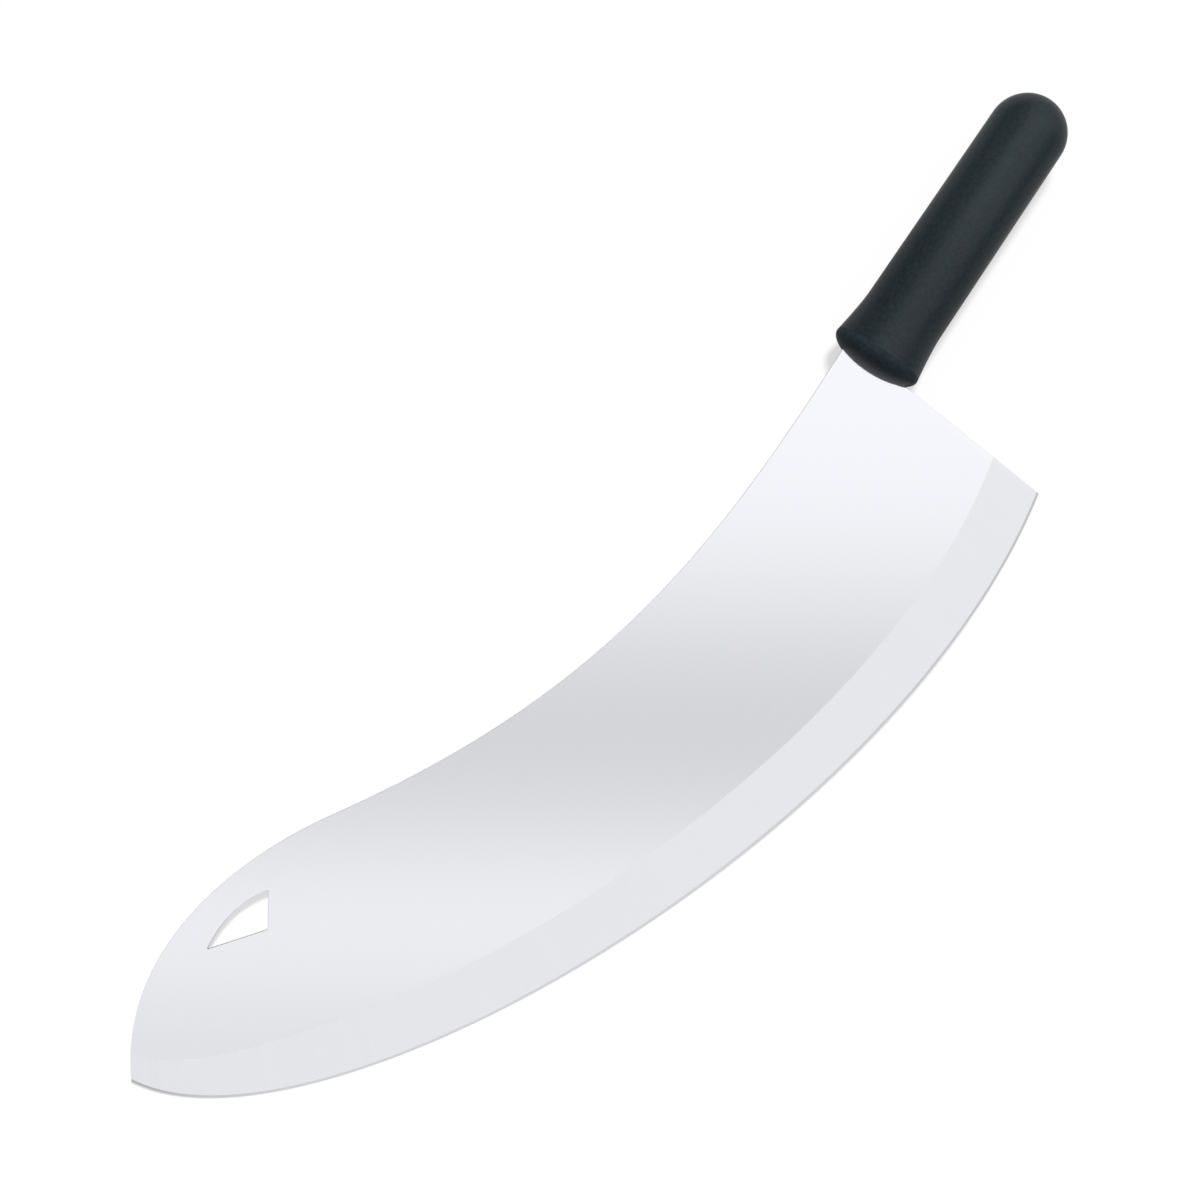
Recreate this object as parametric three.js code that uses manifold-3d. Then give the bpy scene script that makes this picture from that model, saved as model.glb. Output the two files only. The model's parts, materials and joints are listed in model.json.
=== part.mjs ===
// A one-handed mincing knife: an upswept steel blade pinned into a round moulded handle.
// Sizes are in millimetres. In the knife's own frame x runs along the handle from the front of its
// nose to the butt, y points to the back of the blade, and z = 0 is the middle of the steel.
// The finished knife is laid on its right side, as it rests on a table, with +Z up.

import * as THREE from 'three';
import { mergeVertices } from 'three/addons/utils/BufferGeometryUtils.js';
import Module from 'manifold-3d';

const wasm = await Module();
wasm.setup();

// Fits
const clearance = 0.3;              // gap left between pieces that touch
const overcut = 2;                  // how far a cutting solid runs past what it cuts

// Blade blank
const steelThickness = 3;
const bladeReach = 388.5;           // front of the handle's nose to the tip, along the handle
const tipRise = 82.7;               // tip above the handle's centre line
const heelDrop = 82;                // heel corner below the centre line
const heelSetback = 2;              // heel corner in front of the nose
const heelLean = 4.6;               // degrees that the heel leans from square to the handle
const neckRise = 12.7;              // back of the blade above the centre line, at the handle
const noseLength = 130;             // tip to the shoulder where the back turns convex
const shoulderDrop = 7;             // shoulder below the tip
const edgeEase = 0.3;               // chamfer broken along the back, the heel, the tang and the hole

// Directions of travel towards the tip, in degrees from the handle's +x, and how far each is held
const edgeAtHeel = { heading: 192.3, pull: 143 };
const edgeAtTip = { heading: 97.3, pull: 82 };
const backAtNeck = { heading: 181.6, pull: 94 };
const backAtShoulder = { heading: 148, pull: 116 };
const noseAtShoulder = { heading: 148, pull: 41 };
const noseAtTip = { heading: 218.7, pull: 53 };

// Ground bevels, the same on both sides
const bevelWidth = 21.8;
const bevelTipWidth = 11;           // width left at the tip
const bevelRunout = 110;            // length of edge over which the bevel narrows to the tip
const bevelEdgeThickness = 0.7;     // steel left at the edge by the wide bevel
const honeWidth = 1;                // narrow honed bevel along the edge
const honedThickness = 0.1;

// Hanging hole: its three corners and the pull of its curved side, measured from the tip
const holeFront = new THREE.Vector2(59.1, 4.4);
const holeBack = new THREE.Vector2(91.8, -2.6);
const holeFoot = new THREE.Vector2(78.9, -11);
const holeBulge = new THREE.Vector2(78.2, 6.9);
const holeCornerRadius = 0.8;

// Tang, in the middle of the handle
const tangEndGap = 25.6;            // end of the tang short of the end of the butt
const tangRootWidth = 16;
const tangEndWidth = 12;
const tangFillet = 3;               // radius where the tang leaves the heel
const tangEndRadius = 3;

// Cross pins through the core and the tang
const pinRadius = 2.5;
const pinChamfer = 0.6;
const pinInset = 1.5;               // ends of a pin below the surface of the core
const frontPinAt = 31;              // front pin from the front of the nose
const rearPinInset = 19;            // rear pin in front of the end of the tang

// Handle
const gripLength = 127.1;
const noseDepth = 7.2;              // front of the dome to the rim
const rimRadius = 18.6;
const flareBend = 21;               // where the straight flare would meet the waist's radius
const waistAt = 27;                 // where the flare has eased into the grip
const waistRadius = 16.45;
const buttRadius = 15.75;
const gripWall = 4.4;               // thickness of the outer moulding over the core
const coreFront = 15;               // front of the core from the front of the nose

// Grooves round the core that key the outer moulding to it
const keyCount = 3;
const keyWidth = 4;
const keyDepth = 1;

// Where the belly of the edge touches the table when the knife lies down, along the edge from the tip
const restFromTip = 112;

// Smoothness
const edgeSteps = 64;
const backSteps = 36;
const noseSteps = 26;
const cornerSteps = 4;
const holeSteps = 8;
const domeSteps = 6;
const coreDomeSteps = 3;
const flareSteps = 8;
const roundSides = 40;
const pinSides = 24;

// Solids

// A closed solid of a geometry: shared vertices merged, triangles with no area left out
function solidOf(geometry) {
  const bare = new THREE.BufferGeometry();
  bare.setAttribute('position', geometry.getAttribute('position'));
  bare.setIndex(geometry.getIndex());
  const merged = mergeVertices(bare);
  const corners = merged.getIndex().array;
  const kept = [];
  for (let i = 0; i < corners.length; i += 3) {
    const [a, b, c] = [corners[i], corners[i + 1], corners[i + 2]];
    if (a !== b && b !== c && c !== a) kept.push(a, b, c);
  }
  const vertProperties = merged.getAttribute('position').array;
  const triVerts = Uint32Array.from(kept);
  return new wasm.Manifold(new wasm.Mesh({ numProp: 3, vertProperties, triVerts }));
}

// The geometry of a finished solid
function geometryOf(solid) {
  const mesh = solid.getMesh();
  const geometry = new THREE.BufferGeometry();
  geometry.setAttribute('position', new THREE.BufferAttribute(mesh.vertProperties, 3));
  geometry.setIndex(new THREE.BufferAttribute(mesh.triVerts, 1));
  geometry.computeVertexNormals();
  return geometry;
}

// A flat outline made into a plate about z = 0, with the edges of both faces eased by a chamfer
function plate(outline, thickness, ease = 0) {
  const geometry = new THREE.ExtrudeGeometry(outline, {
    depth: thickness - 2 * ease,
    bevelEnabled: ease > 0,
    bevelThickness: ease,
    bevelSize: ease,
    bevelOffset: -ease,
    bevelSegments: 1,
    curveSegments: holeSteps
  });
  return solidOf(geometry.translate(0, 0, ease - thickness / 2));
}

// A profile of (radius, x) points turned about the handle's centre line
function turned(profile) {
  return solidOf(new THREE.LatheGeometry(profile, roundSides).rotateZ(-Math.PI / 2));
}

// A skin over a row of three-cornered sections, closed at both ends
function skinned(sections) {
  const corners = sections.flat().flatMap(({ x, y, z }) => [x, y, z]);
  const faces = [];
  for (let i = 0; i < sections.length - 1; i++) {
    for (let k = 0; k < 3; k++) {
      const here = 3 * i + k;
      const beside = 3 * i + (k + 1) % 3;
      faces.push(here, beside, beside + 3, here, beside + 3, here + 3);
    }
  }
  const last = 3 * (sections.length - 1);
  faces.push(2, 1, 0, last, last + 1, last + 2);
  const geometry = new THREE.BufferGeometry();
  geometry.setAttribute('position', new THREE.Float32BufferAttribute(corners, 3));
  return solidOf(geometry.setIndex(faces));
}

// Outline of the blank

function pullOf({ heading, pull }) {
  const angle = THREE.MathUtils.degToRad(heading);
  return new THREE.Vector2(pull * Math.cos(angle), pull * Math.sin(angle));
}

// A curve that leaves one point along a heading and arrives at another along a second one
function swept(from, leaving, to, arriving) {
  const afterStart = from.clone().add(pullOf(leaving));
  const beforeEnd = to.clone().sub(pullOf(arriving));
  return new THREE.CubicBezierCurve(from, afterStart, beforeEnd, to);
}

// The heel is one straight line, from its corner up to the back of the blade inside the handle
function heelPoint(y, gap = 0) {
  const lean = THREE.MathUtils.degToRad(heelLean);
  return new THREE.Vector2((y + heelDrop) * Math.tan(lean) - heelSetback + gap / Math.cos(lean), y);
}

const tip = new THREE.Vector2(-bladeReach, tipRise);
const heel = heelPoint(-heelDrop);
const neck = heelPoint(neckRise);
const shoulder = new THREE.Vector2(noseLength, -shoulderDrop).add(tip);
const edge = swept(heel, edgeAtHeel, tip, edgeAtTip);
const nose = swept(shoulder, noseAtShoulder, tip, noseAtTip);
const back = swept(neck, backAtNeck, shoulder, backAtShoulder);

// Places along the handle
const tangEnd = gripLength - tangEndGap;
const rearPinAt = tangEnd - rearPinInset;
const buttCentre = gripLength - buttRadius;

// A point at a distance from one corner towards another
function towards(corner, other, distance) {
  return other.clone().sub(corner).setLength(distance).add(corner);
}

// Corners of an open run, each eased by its own radius
function eased(corners) {
  const path = new THREE.Path();
  corners.forEach(({ at, radius = 0 }, i) => {
    if (i === 0) {
      path.moveTo(at.x, at.y);
    } else if (radius === 0) {
      path.lineTo(at.x, at.y);
    } else {
      const before = corners[i - 1].at;
      const after = corners[i + 1].at;
      const opening = before.clone().sub(at).angleTo(after.clone().sub(at));
      const start = towards(at, before, radius / Math.tan(opening / 2));
      const end = towards(at, after, radius / Math.tan(opening / 2));
      path.lineTo(start.x, start.y);
      path.quadraticCurveTo(at.x, at.y, end.x, end.y);
    }
  });
  return path.getPoints(cornerSteps);
}

// The rear of the blank, from the heel line above the tang to the heel line below it
function tangRun(top, bottom, gap) {
  const root = tangRootWidth / 2 + gap;
  const end = tangEndWidth / 2 + gap;
  return eased([
    { at: top },
    { at: heelPoint(root, gap), radius: tangFillet - gap },
    { at: new THREE.Vector2(tangEnd + gap, end), radius: tangEndRadius + gap },
    { at: new THREE.Vector2(tangEnd + gap, -end), radius: tangEndRadius + gap },
    { at: heelPoint(-root, gap), radius: tangFillet - gap },
    { at: bottom }
  ]);
}

function holeOutline() {
  const fromTip = [holeFront, holeBack, holeFoot, holeBulge];
  const [front, rear, foot, bulge] = fromTip.map((place) => place.clone().add(tip));
  const outline = new THREE.Path();
  const line = (from, to) => {
    const end = towards(to, from, holeCornerRadius);
    outline.lineTo(end.x, end.y);
  };
  const corner = (at, next) => {
    const end = towards(at, next, holeCornerRadius);
    outline.quadraticCurveTo(at.x, at.y, end.x, end.y);
  };
  const start = towards(foot, rear, holeCornerRadius);
  const curveEnd = towards(front, bulge, holeCornerRadius);
  outline.moveTo(start.x, start.y);
  line(foot, rear);
  corner(rear, bulge);
  outline.quadraticCurveTo(bulge.x, bulge.y, curveEnd.x, curveEnd.y);
  corner(front, foot);
  line(front, foot);
  corner(foot, rear);
  return outline;
}

function blankOutline() {
  const outline = new THREE.Shape([
    ...edge.getSpacedPoints(edgeSteps).slice(0, -1),
    ...nose.getSpacedPoints(noseSteps).reverse().slice(0, -1),
    ...back.getSpacedPoints(backSteps).reverse().slice(0, -1),
    ...tangRun(neck, heel, 0).slice(0, -1)
  ]);
  outline.holes.push(holeOutline());
  return outline;
}

// The space that the root of the blade and the tang take up in the handle
function rootSpace() {
  const ahead = -2 * noseDepth;
  const aside = -(rimRadius + overcut);
  const above = heelPoint(neckRise + clearance, clearance);
  const below = heelPoint(aside, clearance);
  const outline = new THREE.Shape([
    new THREE.Vector2(ahead, aside),
    ...tangRun(above, below, clearance).reverse(),
    new THREE.Vector2(ahead, above.y)
  ]);
  return plate(outline, steelThickness + 2 * clearance);
}

// Blade

// What a grinding pass takes off one side: a wedge along the edge, from a depth at the edge line
// up to a depth at a width inside it
function groundAway(side, widthAt, depthInside, depthAtEdge) {
  const length = edge.getLength();
  const stations = [];
  for (let i = -1; i <= edgeSteps + 1; i++) {
    const u = THREE.MathUtils.clamp(i / edgeSteps, 0, 1);
    const along = edge.getTangentAt(u);
    const past = i < 0 ? -1 : i > edgeSteps ? 1 : 0;
    const runOn = past * bevelWidth / 2;
    const at = edge.getPointAt(u).addScaledVector(along, runOn);
    const inward = new THREE.Vector2(along.y, -along.x);
    stations.push({ at, inward, fromTip: length * (1 - u) - runOn });
  }
  const sections = stations.map(({ at, inward, fromTip }) => {
    const width = widthAt(fromTip);
    const rise = (depthInside - depthAtEdge) / width;
    const high = side * (depthInside + rise * overcut);
    const low = side * (depthAtEdge - rise * overcut);
    const inside = at.clone().addScaledVector(inward, width + overcut);
    const outside = at.clone().addScaledVector(inward, -overcut);
    const section = [
      new THREE.Vector3(inside.x, inside.y, high),
      new THREE.Vector3(outside.x, outside.y, low),
      new THREE.Vector3(outside.x, outside.y, high)
    ];
    return side > 0 ? section : section.reverse();
  });
  return skinned(sections);
}

function bevelWidthAt(fromTip) {
  const narrowing = Math.max(0, 1 - fromTip / bevelRunout);
  return bevelWidth - (bevelWidth - bevelTipWidth) * narrowing ** 2;
}

// A round bar across the handle
function crossBar(x, radius, length) {
  const bar = new THREE.CylinderGeometry(radius, radius, length, pinSides);
  return solidOf(bar.rotateX(Math.PI / 2).translate(x, 0, 0));
}

// Half the thickness of the steel where the honed bevel starts
const bevelRise = (steelThickness - bevelEdgeThickness) / 2 / bevelWidth;
const honeStart = bevelEdgeThickness / 2 + bevelRise * honeWidth;

function makeBlade() {
  let steel = plate(blankOutline(), steelThickness, edgeEase);
  for (const side of [1, -1]) {
    steel = steel.subtract(groundAway(side, bevelWidthAt, steelThickness / 2, bevelEdgeThickness / 2));
    steel = steel.subtract(groundAway(side, () => honeWidth, honeStart, honedThickness / 2));
  }
  for (const x of [frontPinAt, rearPinAt]) {
    steel = steel.subtract(crossBar(x, pinRadius + clearance, steelThickness + overcut));
  }
  return steel;
}

// Handle

// Points of a quarter of an ellipse in the profile plane, as (radius, x)
function quarterDome(centre, depth, radius, from, to, steps) {
  const path = new THREE.Path().absellipse(centre, 0, depth, radius, from, to, true);
  return path.getPoints(steps).map(({ x, y }) => new THREE.Vector2(Math.max(y, 0), x));
}

function gripProfile() {
  const flare = new THREE.QuadraticBezierCurve(
    new THREE.Vector2(noseDepth, rimRadius),
    new THREE.Vector2(flareBend, waistRadius),
    new THREE.Vector2(waistAt, waistRadius)
  );
  return [
    ...quarterDome(noseDepth, noseDepth, rimRadius, Math.PI, Math.PI / 2, domeSteps),
    ...flare.getPoints(flareSteps).slice(1).map(({ x, y }) => new THREE.Vector2(y, x)),
    ...quarterDome(buttCentre, buttRadius, buttRadius, Math.PI / 2, 0, domeSteps)
  ];
}

// Radius of the core's plain body, which keeps the outer moulding an even thickness
function coreRadius(x) {
  const share = (x - waistAt) / (buttCentre - waistAt);
  return waistRadius + (buttRadius - waistRadius) * Math.max(0, share) - gripWall;
}

function coreProfile(gap) {
  const front = coreFront - gap;
  const profile = [new THREE.Vector2(0, front), new THREE.Vector2(coreRadius(front) + gap, front)];
  for (let i = 1; i <= keyCount; i++) {
    const keyAt = THREE.MathUtils.lerp(waistAt, buttCentre, i / (keyCount + 1));
    const start = keyAt - keyWidth / 2 + gap;
    const end = keyAt + keyWidth / 2 - gap;
    profile.push(new THREE.Vector2(coreRadius(start) + gap, start));
    profile.push(new THREE.Vector2(coreRadius(start) + gap - keyDepth, start));
    profile.push(new THREE.Vector2(coreRadius(end) + gap - keyDepth, end));
    profile.push(new THREE.Vector2(coreRadius(end) + gap, end));
  }
  const rear = buttRadius - gripWall + gap;
  return [...profile, ...quarterDome(buttCentre, rear, rear, Math.PI / 2, 0, coreDomeSteps)];
}

function makeGrip() {
  return turned(gripProfile()).subtract(turned(coreProfile(clearance))).subtract(rootSpace());
}

// The half of the core on one side of the tang
function makeCoreHalf(side) {
  const span = 2 * rimRadius;
  const half = new THREE.BoxGeometry(2 * gripLength, span, span);
  half.translate(0, 0, side * (span + clearance) / 2);
  let core = turned(coreProfile(0)).intersect(solidOf(half)).subtract(rootSpace());
  for (const x of [frontPinAt, rearPinAt]) {
    core = core.subtract(crossBar(x, pinRadius + clearance, span));
  }
  return core;
}

// A cross pin with eased ends, about its own centre
function pinGeometry(x) {
  const half = coreRadius(x) - pinInset;
  const profile = [
    new THREE.Vector2(0, -half),
    new THREE.Vector2(pinRadius - pinChamfer, -half),
    new THREE.Vector2(pinRadius, -half + pinChamfer),
    new THREE.Vector2(pinRadius, half - pinChamfer),
    new THREE.Vector2(pinRadius - pinChamfer, half),
    new THREE.Vector2(0, half)
  ];
  return geometryOf(solidOf(new THREE.LatheGeometry(profile, pinSides)));
}

// Assembly

const steelFinish = new THREE.MeshStandardMaterial({ color: 0xd9dade, roughness: 0.3, metalness: 1 });
const pinFinish = new THREE.MeshStandardMaterial({ color: 0xb9babd, roughness: 0.4, metalness: 1 });
const gripFinish = new THREE.MeshStandardMaterial({ color: 0x2b3336, roughness: 0.6, metalness: 0 });
const coreFinish = new THREE.MeshStandardMaterial({ color: 0x3c3d3e, roughness: 0.7, metalness: 0 });

function piece(name, geometry, material) {
  const mesh = new THREE.Mesh(geometry, material);
  mesh.name = name;
  return mesh;
}

const handle = new THREE.Group();
handle.add(piece('grip', geometryOf(makeGrip()), gripFinish));
handle.add(piece('core_left', geometryOf(makeCoreHalf(1)), coreFinish));
handle.add(piece('core_right', geometryOf(makeCoreHalf(-1)), coreFinish));
for (const [name, x] of [['tang_pin_front', frontPinAt], ['tang_pin_rear', rearPinAt]]) {
  const pin = piece(name, pinGeometry(x), pinFinish);
  pin.rotation.x = Math.PI / 2;
  pin.position.x = x;
  handle.add(pin);
}

const knife = new THREE.Group();
knife.add(piece('blade', geometryOf(makeBlade()), steelFinish), handle);

// Lying down, the knife touches the table at the belly of its edge, where the honed bevel starts,
// and at the rim of its handle, so it is tipped about the edge's direction until both are level
const restAt = 1 - restFromTip / edge.getLength();
const restAlong = edge.getTangentAt(restAt);
const restInward = new THREE.Vector2(restAlong.y, -restAlong.x);
const restPoint = edge.getPointAt(restAt).addScaledVector(restInward, honeWidth);
const rimReach = new THREE.Vector2(noseDepth, 0).sub(restPoint).dot(restInward);
const restTilt = Math.asin((rimRadius - honeStart) / rimReach);
knife.quaternion.setFromAxisAngle(new THREE.Vector3(-restAlong.x, -restAlong.y, 0), restTilt);

// The part's origin is on the table, under the middle of the knife
const lyingKnife = new THREE.Group();
lyingKnife.add(knife);
lyingKnife.updateMatrixWorld(true);
const box = new THREE.Box3().setFromObject(knife, true);
const middle = box.getCenter(new THREE.Vector3());
knife.position.set(-middle.x, -middle.y, -box.min.z);

export default lyingKnife;
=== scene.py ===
# %% [markdown]
# # A mincing knife, finished in Blender
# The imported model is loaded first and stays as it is: it says where every piece lies. This lesson
# then models the two pieces that show, the blade and the grip, with finer surfaces than the packed
# ones, and gives every piece its finish. Nothing is moved and nothing changes size.

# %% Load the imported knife
import json
import math

import bpy
from mathutils import Matrix, Vector
from mathutils.geometry import interpolate_bezier, intersect_line_line_2d


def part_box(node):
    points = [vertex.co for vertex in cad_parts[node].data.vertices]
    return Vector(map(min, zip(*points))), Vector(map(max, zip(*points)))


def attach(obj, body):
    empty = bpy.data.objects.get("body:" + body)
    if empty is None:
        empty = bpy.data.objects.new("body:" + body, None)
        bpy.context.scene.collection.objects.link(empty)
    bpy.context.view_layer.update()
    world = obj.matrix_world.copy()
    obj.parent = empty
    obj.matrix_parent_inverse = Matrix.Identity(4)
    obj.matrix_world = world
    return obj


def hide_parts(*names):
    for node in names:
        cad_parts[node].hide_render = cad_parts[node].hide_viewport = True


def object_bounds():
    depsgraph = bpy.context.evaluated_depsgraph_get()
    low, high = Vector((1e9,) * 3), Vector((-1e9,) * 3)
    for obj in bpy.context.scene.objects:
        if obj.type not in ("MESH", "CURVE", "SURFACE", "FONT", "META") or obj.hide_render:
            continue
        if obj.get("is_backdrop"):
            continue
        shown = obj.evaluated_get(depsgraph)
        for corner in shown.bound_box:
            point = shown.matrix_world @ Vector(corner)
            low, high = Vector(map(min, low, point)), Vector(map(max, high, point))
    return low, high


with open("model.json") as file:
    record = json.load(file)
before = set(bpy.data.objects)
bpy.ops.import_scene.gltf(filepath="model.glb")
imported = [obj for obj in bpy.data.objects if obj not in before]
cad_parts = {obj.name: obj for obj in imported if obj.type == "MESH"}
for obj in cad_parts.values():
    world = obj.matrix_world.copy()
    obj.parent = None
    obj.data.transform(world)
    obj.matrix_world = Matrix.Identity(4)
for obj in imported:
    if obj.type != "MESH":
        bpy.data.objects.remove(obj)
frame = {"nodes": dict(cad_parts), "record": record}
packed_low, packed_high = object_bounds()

MM = 0.001


def in_mm(lengths):
    return [round(length / MM, 1) for length in lengths]


print("packed size, mm:", in_mm(packed_high - packed_low))

# %% [markdown]
# ## The knife's own frame
# The knife lies tilted on the table, so it is easier to model in a frame of its own: x along the
# handle from the front of its nose, y towards the back of the blade, and z out of the steel. That
# frame could be typed in as numbers, but then it would go stale. Here it is measured instead: the
# two tang pins sit on the handle's centre line, and the record knows which way the flat side faces.

# %% Find the knife's frame
FRONT_PIN_AT = 31 * MM


def middle_of(node):
    low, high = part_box(node)
    return (low + high) / 2


mounts = {mount["name"]: mount for mount in frame["record"]["mounts"]}
front_pin = middle_of("tang_pin_front")
along = (middle_of("tang_pin_rear") - front_pin).normalized()
outward = Vector(mounts["left_flat"]["axis"]).normalized()
backward = outward.cross(along).normalized()
outward = along.cross(backward)
nose_front = front_pin - along * FRONT_PIN_AT
knife_to_row = Matrix((along, backward, outward)).transposed().to_4x4()
knife_to_row.translation = nose_front
print("front of the nose, mm:", in_mm(nose_front))

# %% [markdown]
# ## Camera
# The photograph looks square at the side of the blade. The camera could be placed by eye, but one
# pixel of the photograph is a known length on the steel, so it is set from three facts: where the
# front of the handle's nose is in the picture, how far the handle is turned in it, and how far away
# the lens was. The distance shows in the handle: its rim stands nearer to the lens and so slides
# outwards against the blade.

# %% Set the camera
PHOTO_SIDE = 1200
PIXEL = 0.38861 * MM
NOSE_PIXEL = (866.6, 371.4)
HANDLE_TURN = math.radians(56.03)
CAMERA_DISTANCE = 1.05
NEAREST_SEEN = 10 * MM

image_right = along * math.cos(HANDLE_TURN) - backward * math.sin(HANDLE_TURN)
image_up = along * math.sin(HANDLE_TURN) + backward * math.cos(HANDLE_TURN)
picture_middle = (nose_front
                  + image_right * (PHOTO_SIDE / 2 - NOSE_PIXEL[0]) * PIXEL
                  + image_up * (NOSE_PIXEL[1] - PHOTO_SIDE / 2) * PIXEL)

bpy.ops.object.camera_add()
camera = bpy.context.object
camera.matrix_world = Matrix((image_right, image_up, outward)).transposed().to_4x4()
camera.location = picture_middle + outward * CAMERA_DISTANCE
camera.data.lens = camera.data.sensor_width * CAMERA_DISTANCE / (PHOTO_SIDE * PIXEL)
camera.data.clip_start = NEAREST_SEEN
bpy.context.scene.camera = camera
print("lens, mm:", round(camera.data.lens, 1))

# %% [markdown]
# ## Outline of the blade
# The blade is one plate of steel. Its outline is four curves: the long cutting edge, the nose, the
# back and the straight heel. They could be traced point by point, but then they would wobble. Each
# is given the way a draughtsman would give it instead: by its two ends, the direction it leaves and
# arrives in, and how long it holds that direction. The back and the nose have the same direction
# where they meet, at the shoulder, so no corner shows there.

# %% Draw the outline
STEEL = 3 * MM
TIP = Vector((-388.5, 82.7)) * MM
HEEL = Vector((-2, -82)) * MM
HEEL_LEAN = math.radians(4.6)
NECK_RISE = 12.7 * MM
SHOULDER = TIP + Vector((130, -7)) * MM
EDGE_BEND = (192.3, 143), (97.3, 82)
NOSE_BEND = (148, 41), (218.7, 53)
BACK_BEND = (181.6, 94), (148, 116)
CURVE_STEPS = 400


def heel_at(y):
    return Vector((HEEL.x + (y - HEEL.y) * math.tan(HEEL_LEAN), y))


def bend(start, to, leaving, arriving):
    """Points of a curve that leaves and arrives along a heading, each as (degrees, mm held)."""
    pulls = []
    for degrees, held in (leaving, arriving):
        turn = math.radians(degrees)
        pulls.append(Vector((math.cos(turn), math.sin(turn))) * held * MM)
    curve = interpolate_bezier(start, start + pulls[0], to - pulls[1], to, CURVE_STEPS)
    return [p.to_2d() for p in curve]


def length_of(line):
    return sum((b - a).length for a, b in zip(line, line[1:]))


NECK = heel_at(NECK_RISE)
edge = bend(HEEL, TIP, *EDGE_BEND)
nose = bend(SHOULDER, TIP, *NOSE_BEND)
back = bend(NECK, SHOULDER, *BACK_BEND)
print("edge, nose and back, mm:", in_mm(map(length_of, (edge, nose, back))))

# %% [markdown]
# ## Lines of the grind
# A wide bevel is ground along the whole edge on both sides, and narrows over the last stretch to
# the tip. A second, narrow bevel is honed on the edge itself. Each is a line at some distance from
# the edge, so one function can draw them all. At the ends every line runs on straight until it
# meets the heel or the nose, as a grinding belt does.

# %% Draw the lines of the grind
BEVEL_WIDTH = 21.8 * MM
BEVEL_TIP_WIDTH = 11 * MM
BEVEL_RUNOUT = 110 * MM
HONE_WIDTH = 1 * MM
RUN_ON = 15 * MM


def bevel_width(from_tip):
    narrowing = max(0, 1 - from_tip / BEVEL_RUNOUT)
    return BEVEL_WIDTH - (BEVEL_WIDTH - BEVEL_TIP_WIDTH) * narrowing ** 2


def crossing(start, end, line):
    """Where the stretch from start to end crosses a line."""
    for a, b in zip(line, line[1:]):
        found = intersect_line_line_2d(start, end, a, b)
        if found:
            return found
    raise ValueError("the stretch does not reach the line")


def ground_line(width_at):
    """A line inside the edge, from the heel to the nose."""
    left = length_of(edge)
    line = []
    for a, b in zip(edge, edge[1:]):
        ahead = (b - a).normalized()
        line.append(a + Vector((ahead.y, -ahead.x)) * width_at(left))
        left -= (b - a).length
    first = line[0] + (line[0] - line[1]).normalized() * RUN_ON
    last = line[-1] + (line[-1] - line[-2]).normalized() * RUN_ON
    start = crossing(line[0], first, [HEEL, NECK])
    end = crossing(line[-1], last, nose[len(nose) // 2:])
    return [start, *line, end]


hone_line = ground_line(lambda from_tip: HONE_WIDTH)
bevel_line = ground_line(bevel_width)
print("bevel meets the heel, mm:", in_mm(bevel_line[0]))
print("bevel meets the nose, mm:", in_mm(bevel_line[-1]))

# %% [markdown]
# ## Skinning the blade
# The steel could be cut from a plate with booleans, but thin slivers along a 3 degree bevel shade
# badly. A loft is cleaner: a grid has one row for every line of the blade, from the edge up one
# side, round the eased back and down the other side to the edge again. Each row is laid along its
# line, then the points that meet are merged and the two ends are filled.

# %% Lay a grid along rows of points
MERGE = 0.002 * MM


def pick(piece):
    """Makes a piece the only one that the next operator acts on."""
    bpy.ops.object.select_all(action="DESELECT")
    bpy.context.view_layer.objects.active = piece
    piece.select_set(True)


def loft(name, rows):
    """An open skin: a grid with each of its rows laid along a row of points."""
    bpy.ops.object.select_all(action="DESELECT")
    bpy.ops.mesh.primitive_grid_add(x_subdivisions=len(rows[0]) - 1, y_subdivisions=len(rows) - 1)
    piece = bpy.context.object
    piece.name = name
    places = [place for row in rows for place in row]
    assert len(places) == len(piece.data.vertices)
    for vertex, place in zip(piece.data.vertices, places):
        vertex.co = place
    return piece


def close_skin(piece):
    """Merges points that meet, fills open ends and turns every face outwards."""
    pick(piece)
    bpy.ops.object.mode_set(mode="EDIT")
    bpy.ops.mesh.select_all(action="SELECT")
    bpy.ops.mesh.remove_doubles(threshold=MERGE)
    bpy.ops.mesh.dissolve_degenerate(threshold=MERGE)
    bpy.ops.mesh.select_all(action="SELECT")
    bpy.ops.mesh.fill_holes(sides=0)
    bpy.ops.mesh.select_all(action="SELECT")
    bpy.ops.mesh.normals_make_consistent(inside=False)
    bpy.ops.object.mode_set(mode="OBJECT")


print("points merge within, mm:", MERGE / MM)

# %% [markdown]
# The rows need points that pair up from line to line. Every line is walked from the heel to the
# nose in the same number of even steps. The first few steps are tiny and drawn in, which rounds the
# corner of the heel.

# %% Walk a line in even steps
STATIONS = 220
EASE = 0.12 * MM
EASE_TURNS = [math.radians(turn) for turn in (90, 60, 30, 0)]
ROUNDING = 1e-12


def walk(line):
    """The line in STATIONS points: the tiny steps that round the heel, then even ones."""
    starts = [EASE * (1 - math.sin(turn)) for turn in EASE_TURNS]
    step = (length_of(line) - starts[-1]) / (STATIONS - len(starts))
    goals = starts + [starts[-1] + step * k for k in range(1, STATIONS - len(starts) + 1)]
    points = []
    passed = 0
    k = 0
    for a, b in zip(line, line[1:]):
        here = (b - a).length
        while k < len(goals) and goals[k] <= passed + here + ROUNDING:
            points.append(a.lerp(b, min(1, (goals[k] - passed) / here) if here else 0))
            k += 1
        passed += here
    while len(points) < STATIONS:
        points.append(line[-1].copy())
    points[-1] = line[-1].copy()
    return points


print("step along the edge, mm:", round(length_of(edge) / STATIONS / MM, 2))

# %% [markdown]
# The first rows climb the bevel. At the edge itself the steel has no thickness at all. The honed
# strip thickens fast, within a millimetre, and from there the bevel thickens slowly and evenly
# until it is as thick as the plate at the flat.

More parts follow.
